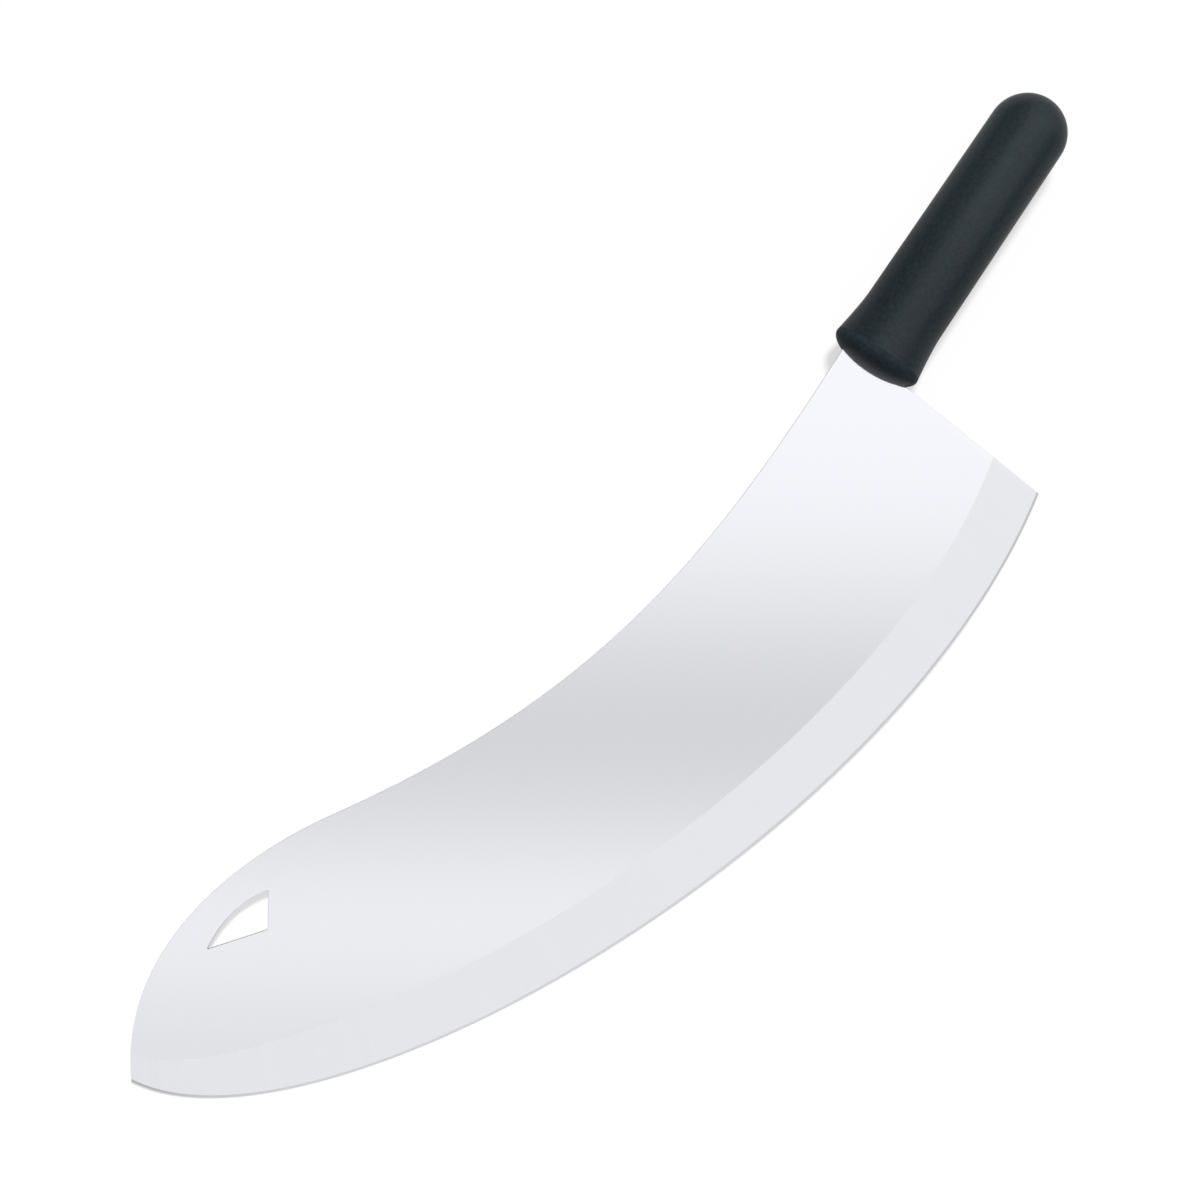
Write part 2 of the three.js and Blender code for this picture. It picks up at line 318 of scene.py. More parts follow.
# %% Lay the rows of the bevel
BEVEL_EDGE = 0.7 * MM
BEVEL_ROWS = 3


def heel_share(k):
    """How much of its thickness the steel keeps at a station, where the heel is rounded."""
    if k >= len(EASE_TURNS):
        return 1
    return 1 - EASE * (1 - math.cos(EASE_TURNS[k])) / (STEEL / 2)


def row_of(line, half):
    return [Vector((p.x, p.y, half * heel_share(k))) for k, p in enumerate(line)]


def half_at(share):
    """Half the thickness across the bevel, from the edge (0) to the flat (1)."""
    return (BEVEL_EDGE + (STEEL - BEVEL_EDGE) * share) / 2


upper = [row_of(walk(edge), 0), row_of(walk(hone_line), half_at(HONE_WIDTH / BEVEL_WIDTH))]
for i in range(1, BEVEL_ROWS):
    share = i / BEVEL_ROWS
    line = ground_line(lambda from_tip: share * bevel_width(from_tip))
    upper.append(row_of(walk(line), half_at(share)))
flat_start = walk(bevel_line)
upper.append(row_of(flat_start, STEEL / 2))
print("rows from the edge to the flat:", len(upper))

# %% [markdown]
# The next rows cross the flat to the back, and the last few turn round the back's corner, which is
# broken by a tenth of a millimetre or so, as a careful maker does with a file. That easing runs out
# at the nose, where the bevel takes the corner away.

# %% Lay the rows of the flat and the eased back
FLAT_ROWS = 7
EASE_RUNOUT = 12

nose_hit = bevel_line[-1]
nose_kept = [p for p in nose if (p - TIP).length > (nose_hit - TIP).length]
back_line = walk([*back, *nose_kept[1:], nose_hit])


def sideways(k):
    """Outward normal of the back at a station."""
    ahead = (back_line[min(k + 1, STATIONS - 1)] - back_line[max(k - 1, 0)]).normalized()
    return Vector((ahead.y, -ahead.x))


def ease_at(k):
    """Radius of the eased back at a station."""
    return EASE * min(1, (STATIONS - 1 - k) / EASE_RUNOUT)


def drawn_in(k, share):
    """The back at a station, drawn in by a share of its radius."""
    return back_line[k] - sideways(k) * ease_at(k) * share


flat_end = [drawn_in(k, 1) for k in range(STATIONS)]
for i in range(1, FLAT_ROWS + 1):
    share = i / FLAT_ROWS
    upper.append(row_of([a.lerp(b, share) for a, b in zip(flat_start, flat_end)], STEEL / 2))
for turn in reversed(EASE_TURNS[:-1]):
    row = []
    for k in range(STATIONS):
        place = drawn_in(k, 1 - math.sin(turn))
        half = (STEEL / 2 - ease_at(k) * (1 - math.cos(turn))) * heel_share(k)
        row.append(Vector((place.x, place.y, half)))
    upper.append(row)
print("rows on one side:", len(upper))

# %% [markdown]
# The other side mirrors these rows, so the skin is laid in one go. Each strip between two rows
# belongs to one of four finishes of the steel, and keeps its number from here on.

# %% Skin the blade
STEEL_FINISHES = range(4)
HONED, GROUND, SATIN, CUT = STEEL_FINISHES


def give_slots(piece, finish):
    """Room for the finishes of the steel, with one of them on every face."""
    for _ in STEEL_FINISHES:
        piece.data.materials.append(None)
    for face in piece.data.polygons:
        face.material_index = finish


lower = [[Vector((p.x, p.y, -p.z)) for p in row] for row in reversed(upper)]
upper_finish = [HONED] + [GROUND] * BEVEL_ROWS + [SATIN] * FLAT_ROWS + [CUT] * (len(EASE_TURNS) - 1)
row_finish = upper_finish + [CUT] + upper_finish[::-1]

blade = loft("blade_steel", upper + lower)
give_slots(blade, HONED)
for face in blade.data.polygons:
    face.material_index = row_finish[face.index // (STATIONS - 1)]
close_skin(blade)
print("blade faces:", len(blade.data.polygons))

# %% [markdown]
# ## Hanging hole
# The hole near the nose has three rounded corners and one side that bows out. It could be part of
# the grid, but then every row would have to run round it. A boolean is simpler, because the flat
# is plain here.

# %% Draw the hanging hole
HOLE_FRONT = TIP + Vector((59.1, 4.4)) * MM
HOLE_REAR = TIP + Vector((91.8, -2.6)) * MM
HOLE_FOOT = TIP + Vector((78.9, -11)) * MM
HOLE_BOW = TIP + Vector((78.2, 6.9)) * MM
HOLE_CORNER = 0.8 * MM
CORNER_STEPS = 9
BOW_STEPS = 40
PULL = 2 / 3


def towards(corner, other):
    return corner + (other - corner).normalized() * HOLE_CORNER


def pulled(start, pull, to, steps):
    """Points of a curve that is pulled towards one point."""
    curve = interpolate_bezier(start, start.lerp(pull, PULL), to.lerp(pull, PULL), to, steps)
    return [p.to_2d() for p in curve]


def rounded(before, corner, after):
    return pulled(towards(corner, before), corner, towards(corner, after), CORNER_STEPS)


hole = rounded(HOLE_FRONT, HOLE_FOOT, HOLE_REAR)
hole += rounded(HOLE_FOOT, HOLE_REAR, HOLE_BOW)
hole += pulled(hole[-1], HOLE_BOW, towards(HOLE_FRONT, HOLE_BOW), BOW_STEPS)[1:-1]
hole += rounded(HOLE_BOW, HOLE_FRONT, HOLE_FOOT)
print("round the hole, mm:", in_mm([length_of([*hole, hole[0]])]))

# %% [markdown]
# The plug that cuts the hole opens a little at both faces of the steel, so the rim comes out eased
# and not razor sharp. A bevel after the cut could do that too, but it would have to be kept off all
# the other edges of the blade.

# %% Cut the hole with an eased plug
RIM_TURNS = [math.radians(turn) for turn in (0, 25, 50, 75)]
PLUG_REACH = 3 * MM


def grown(ring, by):
    """A closed ring of points, moved outwards."""
    moved = []
    for k, p in enumerate(ring):
        ahead = (ring[(k + 1) % len(ring)] - ring[k - 1]).normalized()
        moved.append(p + Vector((ahead.y, -ahead.x)) * by)
    return moved


def level(ring, z):
    return [Vector((p.x, p.y, z)) for p in [*ring, ring[0]]]


def combine(piece, tool, operation):
    """A boolean, applied, after which the tool is gone."""
    pick(piece)
    bpy.ops.object.modifier_add(type="BOOLEAN")
    modifier = piece.modifiers[-1]
    modifier.operation = operation
    modifier.solver = "EXACT"
    modifier.object = tool
    bpy.ops.object.modifier_apply(modifier=modifier.name)
    bpy.data.objects.remove(tool)


rim = [(EASE * (1 - math.cos(turn)), STEEL / 2 - EASE * (1 - math.sin(turn))) for turn in RIM_TURNS]
rim.append((EASE, PLUG_REACH))
plug_rows = [level(grown(hole, by), -z) for by, z in reversed(rim)]
plug_rows += [level(grown(hole, by), z) for by, z in rim]
plug = loft("plug", plug_rows)
give_slots(plug, CUT)
close_skin(plug)
combine(blade, plug, "DIFFERENCE")
print("faces with the hole:", len(blade.data.polygons))

# %% [markdown]
# ## Tang
# The tang is the same steel: a bar that joins the blade inside the handle, narrows towards its end
# and has a hole for each pin. It could be part of the blade's outline, but nobody sees it, so a cube
# with one end drawn in is enough, joined on by a boolean. It is a hair thinner than the blade,
# because a union of two solids with faces in one plane comes out ragged.

# %% Add the tang
TANG_START_AT = 2 * MM
TANG_END_AT = 101.5 * MM
TANG_ROOT = 16 * MM
TANG_END = 12 * MM
TANG_STEEL = STEEL - 0.04 * MM
PIN_HOLE = 2.8 * MM
REAR_PIN_AT = 82.5 * MM
DRILL_SIDES = 48
DRILL_LENGTH = 4 * STEEL

bpy.ops.mesh.primitive_cube_add(size=1)
tang = bpy.context.object
tang.scale = (TANG_END_AT - TANG_START_AT, TANG_ROOT, TANG_STEEL)
tang.location.x = (TANG_START_AT + TANG_END_AT) / 2
bpy.ops.object.transform_apply(location=True, rotation=True, scale=True)
bpy.ops.object.mode_set(mode="EDIT")
bpy.ops.mesh.select_all(action="DESELECT")
bpy.ops.object.mode_set(mode="OBJECT")
for vertex in tang.data.vertices:
    vertex.select = vertex.co.x > TANG_END_AT / 2
bpy.ops.object.mode_set(mode="EDIT")
bpy.ops.transform.resize(value=(1, TANG_END / TANG_ROOT, 1))
bpy.ops.object.mode_set(mode="OBJECT")
give_slots(tang, CUT)
for x in (FRONT_PIN_AT, REAR_PIN_AT):
    bpy.ops.mesh.primitive_cylinder_add(vertices=DRILL_SIDES, radius=PIN_HOLE, depth=DRILL_LENGTH,
                                        location=(x, 0, 0))
    drill = bpy.context.object
    bpy.ops.object.transform_apply(location=True, rotation=True, scale=True)
    give_slots(drill, CUT)
    combine(tang, drill, "DIFFERENCE")
combine(blade, tang, "UNION")
print("faces with the tang:", len(blade.data.polygons))

# %% [markdown]
# The bevel leaves the flat at only 3 degrees, so an angle limit can't tell its edge from a smooth
# one. The finishes can: wherever two of them meet, the edge is marked sharp. Then the blade goes
# from the knife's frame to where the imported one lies, and takes that one's place.

# %% Mark the blade's crisp edges and lay it in place
CREASE = math.radians(40)


def lay_in_place(piece, node):
    """Takes a piece from the knife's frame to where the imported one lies, and replaces that."""
    piece.matrix_world = knife_to_row
    pick(piece)
    bpy.ops.object.transform_apply(location=True, rotation=True, scale=True)
    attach(piece, "root")
    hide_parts(node)


touching = {}
for face in blade.data.polygons:
    for key in face.edge_keys:
        touching.setdefault(key, set()).add(face.material_index)
for e in blade.data.edges:
    e.use_edge_sharp = len(touching.get(e.key, ())) > 1
pick(blade)
bpy.ops.object.shade_smooth_by_angle(angle=CREASE, keep_sharp_edges=True)
lay_in_place(blade, "blade")
print("sharp edges on the blade:", sum(e.use_edge_sharp for e in blade.data.edges))

# %% [markdown]
# ## Grip
# The handle is round. It could be built up from a cone, a cylinder and a ball, but every joint would
# show as a ring in its sheen. So its side view is drawn in one line and spun round the handle's
# axis: a domed nose, a flare that runs back from its rim, a nearly straight grip and a ball end. A
# lathe would cut it from the same drawing.

# %% Draw the grip's side view
GRIP_LENGTH = 127.1 * MM
NOSE_DEPTH = 7.2 * MM
RIM_RADIUS = 18.6 * MM
FLARE_BEND = 21 * MM
WAIST_AT = 27 * MM
WAIST_RADIUS = 16.45 * MM
BUTT_RADIUS = 15.75 * MM
BUTT_CENTRE = GRIP_LENGTH - BUTT_RADIUS
BODY_RINGS = (50 * MM, 80 * MM)
DOME_STEPS = 24
FLARE_STEPS = 24
BUTT_STEPS = 32


def arc(centre, depth, radius, start, end, steps):
    """Points of an ellipse in the side view, between two angles in degrees."""
    turns = [math.radians(start + (end - start) * k / steps) for k in range(steps + 1)]
    return [Vector((centre + depth * math.cos(turn), radius * math.sin(turn))) for turn in turns]


def body_radius(x):
    share = max(0, (x - WAIST_AT) / (BUTT_CENTRE - WAIST_AT))
    return WAIST_RADIUS + (BUTT_RADIUS - WAIST_RADIUS) * share


rim_point = Vector((NOSE_DEPTH, RIM_RADIUS))
waist_point = Vector((WAIST_AT, WAIST_RADIUS))
outside = arc(NOSE_DEPTH, NOSE_DEPTH, RIM_RADIUS, 180, 90, DOME_STEPS)
outside += pulled(rim_point, Vector((FLARE_BEND, WAIST_RADIUS)), waist_point, FLARE_STEPS)[1:]
outside += [Vector((x, body_radius(x))) for x in BODY_RINGS]
outside += arc(BUTT_CENTRE, BUTT_RADIUS, BUTT_RADIUS, 90, 0, BUTT_STEPS)
print("points in the side view:", len(outside))

# %% [markdown]
# One point is pulled along the drawing, which leaves a line of edges behind it, and the line is
# spun. A Screw modifier could turn it as well, but the spin gives a mesh at once, ready for the cuts
# that follow. The first and the last ring lie on the axis, so they close into single points.

# %% Spin the grip
SPIN_STEPS = 144


def spun(name, profile):
    """A solid turned from a side view, round the x axis."""
    bpy.ops.object.select_all(action="DESELECT")
    bpy.ops.mesh.primitive_plane_add(size=MM)
    piece = bpy.context.object
    piece.name = name
    bpy.ops.object.mode_set(mode="EDIT")
    bpy.ops.mesh.merge(type="CENTER")
    bpy.ops.transform.translate(value=profile[0].to_3d())
    for a, b in zip(profile, profile[1:]):
        bpy.ops.mesh.extrude_region_move(TRANSFORM_OT_translate={"value": (b - a).to_3d()})
    bpy.ops.mesh.select_all(action="SELECT")
    bpy.ops.mesh.spin(steps=SPIN_STEPS, angle=math.tau, center=(0, 0, 0), axis=(1, 0, 0))
    bpy.ops.object.mode_set(mode="OBJECT")
    close_skin(piece)
    return piece


grip = spun("grip_moulding", outside)
print("grip faces:", len(grip.data.polygons))

# %% [markdown]
# The grip is a skin of even thickness over a hard core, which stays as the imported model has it. The
# space for the core is spun in the same way and cut away. Ring keys on the inside lock the skin
# into grooves of the core. The hollow's front wall is a very shallow cone, because on a flat disc
# the next cut leaves triangles with no area.

# %% Hollow the grip for the core
GRIP_WALL = 4.4 * MM
CORE_FRONT = 15 * MM
CLEARANCE = 0.3 * MM
FRONT_CONE = 0.1 * MM
KEY_COUNT = 3
KEY_WIDTH = 4 * MM
KEY_DEPTH = 1 * MM
CORE_END_STEPS = 12

wall = GRIP_WALL - CLEARANCE
inside_front = CORE_FRONT - CLEARANCE
inside_butt = BUTT_RADIUS - wall
inside = [Vector((inside_front - FRONT_CONE, 0)),
          Vector((inside_front, body_radius(inside_front) - wall))]
for i in range(1, KEY_COUNT + 1):
    key_at = WAIST_AT + (BUTT_CENTRE - WAIST_AT) * i / (KEY_COUNT + 1)
    for side, deep in ((-1, 0), (-1, 1), (1, 1), (1, 0)):
        x = key_at + side * (KEY_WIDTH / 2 - CLEARANCE)
        inside.append(Vector((x, body_radius(x) - wall - deep * KEY_DEPTH)))
inside += arc(BUTT_CENTRE, inside_butt, inside_butt, 90, 0, CORE_END_STEPS)
combine(grip, spun("hollow", inside), "DIFFERENCE")
print("grip faces with the hollow:", len(grip.data.polygons))

# %% [markdown]
# The blade's root goes into the nose through a slot that fits it closely, and a throat behind it
# lets the tang through to the core. Two boxes could cut them, but the heel leans, and two cuts with
# sides in one plane come out a little different each time. One drawn outline does both at once.

# %% Cut the slot for the blade's root
SLOT_GAP = 0.05 * MM
SLOT_REACH = 40 * MM
THROAT_END = CORE_FRONT + 1 * MM


def slot_end(y):
    return heel_at(y) + Vector((SLOT_GAP, 0))


slot_top = NECK_RISE + SLOT_GAP
half_slot = STEEL / 2 + SLOT_GAP
half_throat = TANG_ROOT / 2 + CLEARANCE
opening = [Vector((-SLOT_REACH, -SLOT_REACH)), slot_end(-SLOT_REACH), slot_end(-half_throat),
           Vector((THROAT_END, -half_throat)), Vector((THROAT_END, half_throat)),
           slot_end(half_throat), slot_end(slot_top), Vector((-SLOT_REACH, slot_top))]
slot = loft("slot", [level(opening, -half_slot), level(opening, half_slot)])
close_skin(slot)
combine(grip, slot, "DIFFERENCE")
pick(grip)
bpy.ops.object.shade_smooth_by_angle(angle=CREASE)
lay_in_place(grip, "grip")
print("grip faces with the slot:", len(grip.data.polygons))

# %% [markdown]
# ## Finishes
# Every finish is one shader and a grain: a noise, stretched the way the real surface was worked,
# that moves its roughness, colour or height between two levels. Painted pictures could do the same,
# but a noise has no seams and stays sharp from close by.

# %% Start a finish
METAL = 1
NOT_METAL = 0


def shader(name, colour, roughness, metallic=NOT_METAL):
    material = bpy.data.materials.new(name)
    material.use_nodes = True
    principled = material.node_tree.nodes["Principled BSDF"]
    principled.inputs["Base Color"].default_value = (*colour, 1)
    principled.inputs["Roughness"].default_value = roughness
    principled.inputs["Metallic"].default_value = metallic
    return material


def feed(material, source, socket):
    """Lets the output of a node drive one value of the shader."""
    material.node_tree.links.new(source, material.node_tree.nodes["Principled BSDF"].inputs[socket])


print("materials before the finishes:", len(bpy.data.materials))

# %% [markdown]
# A noise seldom leaves the middle of its range, so the two levels of a finish are reached at the
# ends of that middle, and not at 0 and 1.

# %% Lay a grain
GRAIN_LOW = 0.3
GRAIN_HIGH = 0.7


def grain(material, marks, coordinates="Object", detail=3, turn=(0, 0, 0)):
    """A noise stretched over the surface, in marks per metre (or per length of a UV map)."""
    nodes, links = material.node_tree.nodes, material.node_tree.links
    place = nodes.new("ShaderNodeTexCoord")
    mapping = nodes.new("ShaderNodeMapping")
    noise = nodes.new("ShaderNodeTexNoise")
    mapping.inputs["Scale"].default_value = marks
    mapping.inputs["Rotation"].default_value = turn
    noise.inputs["Scale"].default_value = 1
    noise.inputs["Detail"].default_value = detail
    links.new(place.outputs[coordinates], mapping.inputs["Vector"])
    links.new(mapping.outputs["Vector"], noise.inputs["Vector"])
    return noise.outputs["Fac"]


def levels(material, source, low, high):
    """A grain brought between two levels."""
    spread = material.node_tree.nodes.new("ShaderNodeMapRange")
    spread.inputs["From Min"].default_value = GRAIN_LOW
    spread.inputs["From Max"].default_value = GRAIN_HIGH
    spread.inputs["To Min"].default_value = low
    spread.inputs["To Max"].default_value = high
    material.node_tree.links.new(source, spread.inputs["Value"])
    return spread.outputs["Result"]


def grained(name, colour, metallic, rough, marks, **laid):
    """A finish of one colour, with a roughness that follows a grain between two levels."""
    material = shader(name, colour, sum(rough) / 2, metallic)
    feed(material, levels(material, grain(material, marks, **laid), *rough), "Roughness")
    return material


print("grain taken from and to:", GRAIN_LOW, GRAIN_HIGH)

# %% [markdown]
# ### Steel
# Four finishes share the blade: the satin flat, the bevel that shows the marks of the belt, the
# honed edge and the cut walls. The flat mirrors the room softly, while the bevel scatters it and so
# keeps one even tone. The honed edge mirrors a darker part of the room, and its colour is also painted
# darker than the rest of the steel: a painted shadow line round the belly.

# %% Finish the steel
# Painted shadow: the honed strip's colour is darker than the other steel, so a dark line runs along the
# edge.
HONED_SHADOW_COLOUR = (0.8, 0.802, 0.837)
HONED_ROUGH = (0.2, 0.3)
HONED_MARKS = (2200, 6, 1)
GROUND_COLOUR = (0.94, 0.95, 0.985)
GROUND_ROUGH = (0.38, 0.46)
GROUND_MARKS = (1500, 6, 1)
SATIN_COLOUR = (0.922, 0.926, 0.97)
SATIN_ROUGH = (0.117, 0.133)
SATIN_MARKS = (18, 2600, 18)
SATIN_TURN = knife_to_row.to_3x3().inverted().to_euler()
CUT_COLOUR = (0.93, 0.93, 0.95)
CUT_ROUGH = (0.7, 0.9)
CUT_MARKS = (900, 900, 900)

steel = {
    HONED: grained("honed_steel_shadow_line", HONED_SHADOW_COLOUR, METAL, HONED_ROUGH, HONED_MARKS, coordinates="UV"),
    GROUND: grained("ground_steel", GROUND_COLOUR, METAL, GROUND_ROUGH, GROUND_MARKS, coordinates="UV"),
    SATIN: grained("satin_steel", SATIN_COLOUR, METAL, SATIN_ROUGH, SATIN_MARKS, turn=SATIN_TURN),
    CUT: grained("cut_steel", CUT_COLOUR, METAL, CUT_ROUGH, CUT_MARKS),
}
for number, finish in steel.items():
    blade.data.materials[number] = finish
print("finishes of the steel:", [finish.name for finish in blade.data.materials])

# %% [markdown]
# ### Black moulding
# The grip is black plastic, faintly mottled, with fine pits. The hand rubs it to a low sheen, and
# the palm wears the rear smoother than the waist. The rear is also painted a little paler than the
# waist, a painted light that grows towards the butt. Both could be painted on in a picture, but
# they only change along the handle, so a slow ramp along that line is enough.

# %% Rub the grip and paint it paler along its length
RUBBED_AND_LIT_FROM = 40 * MM
RUBBED_AND_LIT_TO = 85 * MM


# One ramp serves two things: real rubbing, which makes the grip smoother, and painted light, which
# makes its colour paler towards the butt.
def wear_and_painted_light(material, most):
    """A value that grows slowly along the grip, from its waist towards its butt."""
    nodes, links = material.node_tree.nodes, material.node_tree.links
    place = nodes.new("ShaderNodeTexCoord")
    reach = nodes.new("ShaderNodeVectorMath")
    reach.operation = "DOT_PRODUCT"
    reach.inputs[1].default_value = along
    links.new(place.outputs["Object"], reach.inputs[0])
    slow = nodes.new("ShaderNodeMapRange")
    slow.interpolation_type = "SMOOTHSTEP"
    slow.inputs["From Min"].default_value = nose_front.dot(along) + RUBBED_AND_LIT_FROM
    slow.inputs["From Max"].default_value = nose_front.dot(along) + RUBBED_AND_LIT_TO
    slow.inputs["To Max"].default_value = most
    links.new(reach.outputs["Value"], slow.inputs["Value"])
    return slow.outputs["Result"]


def plus(material, one, other):
    total = material.node_tree.nodes.new("ShaderNodeMath")
    material.node_tree.links.new(one, total.inputs[0])
    material.node_tree.links.new(other, total.inputs[1])
    return total.outputs["Value"]


print("rubbed between, mm from the nose:", in_mm((RUBBED_AND_LIT_FROM, RUBBED_AND_LIT_TO)))

# %% [markdown]
# A grain can do more than change the roughness. A ramp turns it into a colour between two tones. The
# light tone lies further up than the grain alone goes, which leaves room for the painted light along
# the grip to make it paler. A bump turns a grain into a fine relief, far too fine to model.

# %% Turn a grain into colour and relief
PALEST = 0.9


def tint(material, source, tones):
    """A colour that follows a grain from a dark tone to a light one."""
    ramp = material.node_tree.nodes.new("ShaderNodeValToRGB")
    for end, position, tone in zip(ramp.color_ramp.elements, (GRAIN_LOW, PALEST), tones):
        end.position = position
        end.color = (*tone, 1)
    material.node_tree.links.new(source, ramp.inputs["Fac"])
    return ramp.outputs["Color"]


def emboss(material, source, height, strength):
    """A relief that follows a grain up and down."""
    bump = material.node_tree.nodes.new("ShaderNodeBump")
    bump.inputs["Distance"].default_value = height
    bump.inputs["Strength"].default_value = strength
    material.node_tree.links.new(source, bump.inputs["Height"])
    return bump.outputs["Normal"]


print("light tone reached at:", PALEST)

# %% [markdown]
# The face of the nose gets a dull copy of the plastic, with almost no sheen and greyer tones of its
# own. It is a painted shade: without the sheen the face stays darker than the grip behind it, like a
# face turned from the light. So there is one recipe for the plastic and two finishes: pits give both
# their roughness and their fine relief, and mottles move the colour between two tones of black.

# %% Mix the black plastic
PITS = (2600, 2600, 2600)
PIT_DEPTH = 0.05 * MM
PIT_STRENGTH = 0.3
PLASTIC_ROUGH = (0.32, 0.42)
RUBBED_SMOOTHER = -0.09
MOTTLES = (750, 750, 750)
# Painted light: how much paler the grip's colour grows towards the butt.
PAINTED_LIGHT_TO_BUTT = 0.17
RUBBED_SHEEN = 0.4
RUBBED_TONES = (0.0046, 0.0098, 0.0129), (0.0186, 0.0301, 0.0368)
# Painted shade on the face of the nose: a copy of the plastic with almost no sheen and tones of its
# own.
DULL_SHEEN = 0.04
DULL_SHADE_TONES = (0.0155, 0.026, 0.032), (0.038, 0.0537, 0.0627)


def black_plastic(name, sheen, tones):
    """The grip's plastic: a black mottled between two tones and painted paler towards the butt, with
    fine pits and some sheen.
    """
    material = shader(name, tones[0], sum(PLASTIC_ROUGH) / 2)
    material.node_tree.nodes["Principled BSDF"].inputs["Specular IOR Level"].default_value = sheen
    pits = grain(material, PITS, detail=2)
    feed(material, emboss(material, pits, PIT_DEPTH, PIT_STRENGTH), "Normal")
    rough = levels(material, pits, *PLASTIC_ROUGH)
    feed(material, plus(material, rough, wear_and_painted_light(material, RUBBED_SMOOTHER)), "Roughness")
    mottle_and_painted_light = grain(material, MOTTLES, detail=4)
    # Painted light: the mottle is lifted towards the butt, so the rear of the grip comes out paler.
    mottle_and_painted_light = plus(material, mottle_and_painted_light, wear_and_painted_light(material, PAINTED_LIGHT_TO_BUTT))
    feed(material, tint(material, mottle_and_painted_light, tones), "Base Color")
    return material


rubbed = black_plastic("black_moulding", RUBBED_SHEEN, RUBBED_TONES)
dull = black_plastic("dull_nose_painted_shade", DULL_SHEEN, DULL_SHADE_TONES)
print("nodes in the plastic:", len(rubbed.node_tree.nodes))

# %% [markdown]
# The dull finish ends just behind the rim of the nose, and its edge draws the painted line where the
# shaded face meets the lit grip. Each face of the grip takes its finish from how far back its middle
# lies.

# %% Finish the grip
# The edge of the painted shade on the nose's face lies here, just behind the rim.
DULL_SHADE_TO = NOSE_DEPTH + 1.3 * MM

grip.data.materials.clear()
for finish in (rubbed, dull):
    grip.data.materials.append(finish)
for face in grip.data.polygons:
    face.material_index = int((face.center - nose_front).dot(along) < DULL_SHADE_TO)
print("dull faces:", sum(face.material_index for face in grip.data.polygons))

# %% [markdown]
# ### Hidden pieces
# The core and the pins only show when the knife is taken apart. A finer surface would be wasted on
# them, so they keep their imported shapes, and get a plain moulded plastic and the steel of a drawn
# rod.

# %% Finish the core and the pins
CORE_COLOUR = (0.045, 0.046, 0.048)
CORE_ROUGH = (0.5, 0.7)
CORE_MARKS = (800, 800, 800)
PIN_COLOUR = (0.6, 0.6, 0.61)
PIN_ROUGH = (0.3, 0.42)
PIN_MARKS = (400, 400, 4000)

core_plastic = grained("core_plastic", CORE_COLOUR, NOT_METAL, CORE_ROUGH, CORE_MARKS)
pin_steel = grained("pin_steel", PIN_COLOUR, METAL, PIN_ROUGH, PIN_MARKS)
for node, finish in (("core_left", core_plastic), ("core_right", core_plastic),
                     ("tang_pin_front", pin_steel), ("tang_pin_rear", pin_steel)):
    mesh = frame["nodes"][node].data
    mesh.materials.clear()
    mesh.materials.append(finish)
print("materials with the finishes:", len(bpy.data.materials))

# %% [markdown]
# ## Table
# The picture is a product shot on white paper. A white plane would do, but it throws so much light
# back up that the handle turns grey. So the paper itself is a middle grey, and a glow lifts it to
# white for the camera, where it still shows the knife's soft shadow. Mirrors see only a little of
# that glow, because a full white table would wash out the dark sides of the handle.

# %% Lay the table
TABLE_SIDE = 60
TABLE_GREY = 0.4
TABLE_GLOW = 0.63
MIRRORED_GLOW = 0.05
WHITE = (1, 1, 1, 1)

bpy.ops.mesh.primitive_plane_add(size=TABLE_SIDE)
table = bpy.context.object
table.name = "table"
table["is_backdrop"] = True
paper = shader("white_paper", (TABLE_GREY, TABLE_GREY, TABLE_GREY), roughness=1)
nodes, links = paper.node_tree.nodes, paper.node_tree.links
nodes["Principled BSDF"].inputs["Specular IOR Level"].default_value = 0
nodes["Principled BSDF"].inputs["Emission Color"].default_value = WHITE
ray = nodes.new("ShaderNodeLightPath")
glow = nodes.new("ShaderNodeMath")
glow.operation = "MULTIPLY"
glow.inputs[1].default_value = TABLE_GLOW
links.new(ray.outputs["Is Camera Ray"], glow.inputs[0])
all_glow = nodes.new("ShaderNodeMath")
all_glow.operation = "MULTIPLY_ADD"
all_glow.inputs[1].default_value = MIRRORED_GLOW
links.new(ray.outputs["Is Glossy Ray"], all_glow.inputs[0])
links.new(glow.outputs["Value"], all_glow.inputs[2])
feed(paper, all_glow.outputs["Value"], "Emission Strength")
table.data.materials.append(paper)
print("table, m:", TABLE_SIDE)

# %% [markdown]
# ## Lamp
# A broad, far lamp shines from above and a little from the top right of the picture, and throws the
# soft shadows. It could be an area lamp, but that one's light would fall off along the blade. A sun
# with a wide angle stays even. Mirrors don't show it, because a bare lamp would burn a white spot
# into the steel.

# %% Set the lamp
STRAIGHT_UP = Vector((0, 0, 1))
KEY_UP = 0.33
KEY_RIGHT = 0.16
KEY_SOFTNESS = math.radians(9)
KEY_LEVEL = 0.82

key_from = (STRAIGHT_UP + image_up * KEY_UP + image_right * KEY_RIGHT).normalized()
bpy.ops.object.light_add(type="SUN", location=picture_middle + key_from)
key = bpy.context.object
key.rotation_euler = key_from.to_track_quat("Z", "Y").to_euler()
key.data.angle = KEY_SOFTNESS
key.data.energy = math.pi * KEY_LEVEL
key.visible_glossy = False
print("lamp off the vertical, degrees:", round(math.degrees(key_from.angle(STRAIGHT_UP))))

# %% [markdown]
# ## Room
# Steel shows little but what it mirrors, so the room matters as much as the finish. It could be
# built from panels and lamps, but they would stand in the way of other views. Here the world itself
# is the room: each direction has a tone, by how far it leans along some axis.

# %% Tone the room by direction
world = bpy.data.worlds.new("studio")
bpy.context.scene.world = world
world.use_nodes = True
nodes, links = world.node_tree.nodes, world.node_tree.links
direction = nodes.new("ShaderNodeTexCoord").outputs["Generated"]


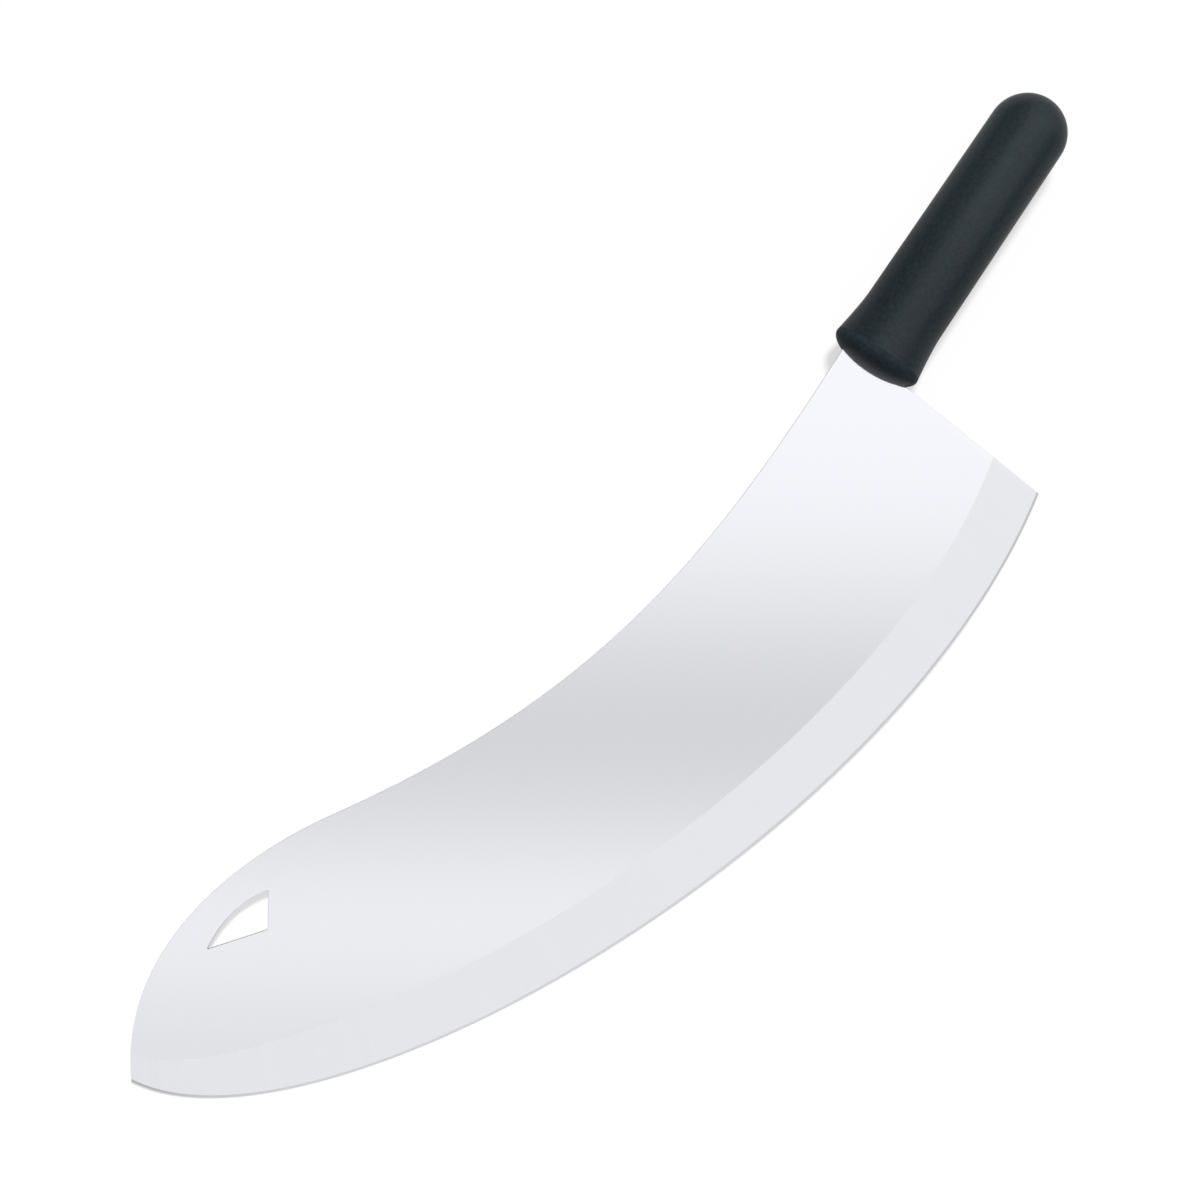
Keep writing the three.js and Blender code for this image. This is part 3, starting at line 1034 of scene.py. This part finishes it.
def tones_along(axis, reach, stops):
    """A tone for every direction, by how far it leans along an axis, up to a reach either way."""
    lean = nodes.new("ShaderNodeVectorMath")
    lean.operation = "DOT_PRODUCT"
    lean.inputs[1].default_value = axis
    links.new(direction, lean.inputs[0])
    share = nodes.new("ShaderNodeMapRange")
    share.inputs["From Min"].default_value = -reach
    share.inputs["From Max"].default_value = reach
    links.new(lean.outputs["Value"], share.inputs["Value"])
    ramp = nodes.new("ShaderNodeValToRGB")
    while len(ramp.color_ramp.elements) < len(stops):
        ramp.color_ramp.elements.new(0.5)
    for element, (at, tone) in zip(ramp.color_ramp.elements, stops):
        element.position = (at + reach) / (2 * reach)
        element.color = (tone, tone, tone, 1)
    links.new(share.outputs["Result"], ramp.inputs["Fac"])
    return ramp.outputs["Color"]


print("room:", world.name)

# %% [markdown]
# The ceiling is one big soft box whose tone changes slowly across it: the flat of the blade mirrors
# that as its light and grey bands. Lower down the room is darker, and grey panels, which
# photographers call flags, stand at both sides of the handle and in front of its nose. The handle
# mirrors them, and so its sheen draws together into one light streak along the middle.

# %% Hang the soft box and the flags
BANDS = ((-0.45, 1.0), (-0.22, 0.84), (-0.17, 0.75), (-0.15, 0.79), (-0.128, 1.02), (-0.105, 1.0),
         (-0.085, 0.80), (-0.07, 0.67), (-0.05, 0.62), (-0.03, 0.65), (0.0, 0.86), (0.02, 0.98),
         (0.045, 1.02), (0.45, 1.0))
BAND_REACH = 0.5
SIDE_FLAGS = ((-0.95, 0.4), (-0.75, 1.0), (0.2, 1.0), (0.6, 0.35))
FRONT_FLAG = ((-0.95, 0.4), (-0.7, 1.0))
FLAG_REACH = 1
LOW_ROOM = 0.55
CEILING_FROM = 0.9

height = nodes.new("ShaderNodeSeparateXYZ")
links.new(direction, height.inputs["Vector"])
ceiling = nodes.new("ShaderNodeMapRange")
ceiling.interpolation_type = "SMOOTHSTEP"
ceiling.inputs["From Max"].default_value = CEILING_FROM
ceiling.inputs["To Min"].default_value = LOW_ROOM
links.new(height.outputs["Z"], ceiling.inputs["Value"])
room = ceiling.outputs["Result"]
for axis, stops in ((backward, SIDE_FLAGS), (along, FRONT_FLAG)):
    flagged = nodes.new("ShaderNodeMath")
    flagged.operation = "MULTIPLY"
    links.new(room, flagged.inputs[0])
    links.new(tones_along(axis, FLAG_REACH, stops), flagged.inputs[1])
    room = flagged.outputs["Value"]
softbox = nodes.new("ShaderNodeBackground")
links.new(tones_along(image_up, BAND_REACH, BANDS), softbox.inputs["Color"])
links.new(room, softbox.inputs["Strength"])
print("tones across the ceiling:", len(BANDS))

# %% [markdown]
# Each kind of ray gets its own part of the room. Mirrors see the soft box and the flags. The camera
# sees plain white past the end of the table. All other rays get an even, dim light, which fills the
# shadows.

# %% Show each ray its part of the room
FILL_COLOUR = (0.98, 0.99, 1, 1)
FILL_LEVEL = 0.2

fill = nodes["Background"]
fill.inputs["Color"].default_value = FILL_COLOUR
fill.inputs["Strength"].default_value = FILL_LEVEL
backdrop = nodes.new("ShaderNodeBackground")
backdrop.inputs["Color"].default_value = WHITE
ray = nodes.new("ShaderNodeLightPath")
mirrored = nodes.new("ShaderNodeMixShader")
links.new(ray.outputs["Is Glossy Ray"], mirrored.inputs["Fac"])
links.new(fill.outputs["Background"], mirrored.inputs[1])
links.new(softbox.outputs["Background"], mirrored.inputs[2])
seen = nodes.new("ShaderNodeMixShader")
links.new(ray.outputs["Is Camera Ray"], seen.inputs["Fac"])
links.new(mirrored.outputs["Shader"], seen.inputs[1])
links.new(backdrop.outputs["Background"], seen.inputs[2])
links.new(seen.outputs["Shader"], nodes["World Output"].inputs["Surface"])
bpy.context.scene.view_settings.view_transform = "Standard"
print("nodes in the room:", len(nodes))

# %% [markdown]
# ## Measure and finish
# The knife has to be as large as the imported one. Both sizes are written down.

# %% Write the sizes and finish
low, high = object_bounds()
print("shown size, mm:", in_mm(high - low))
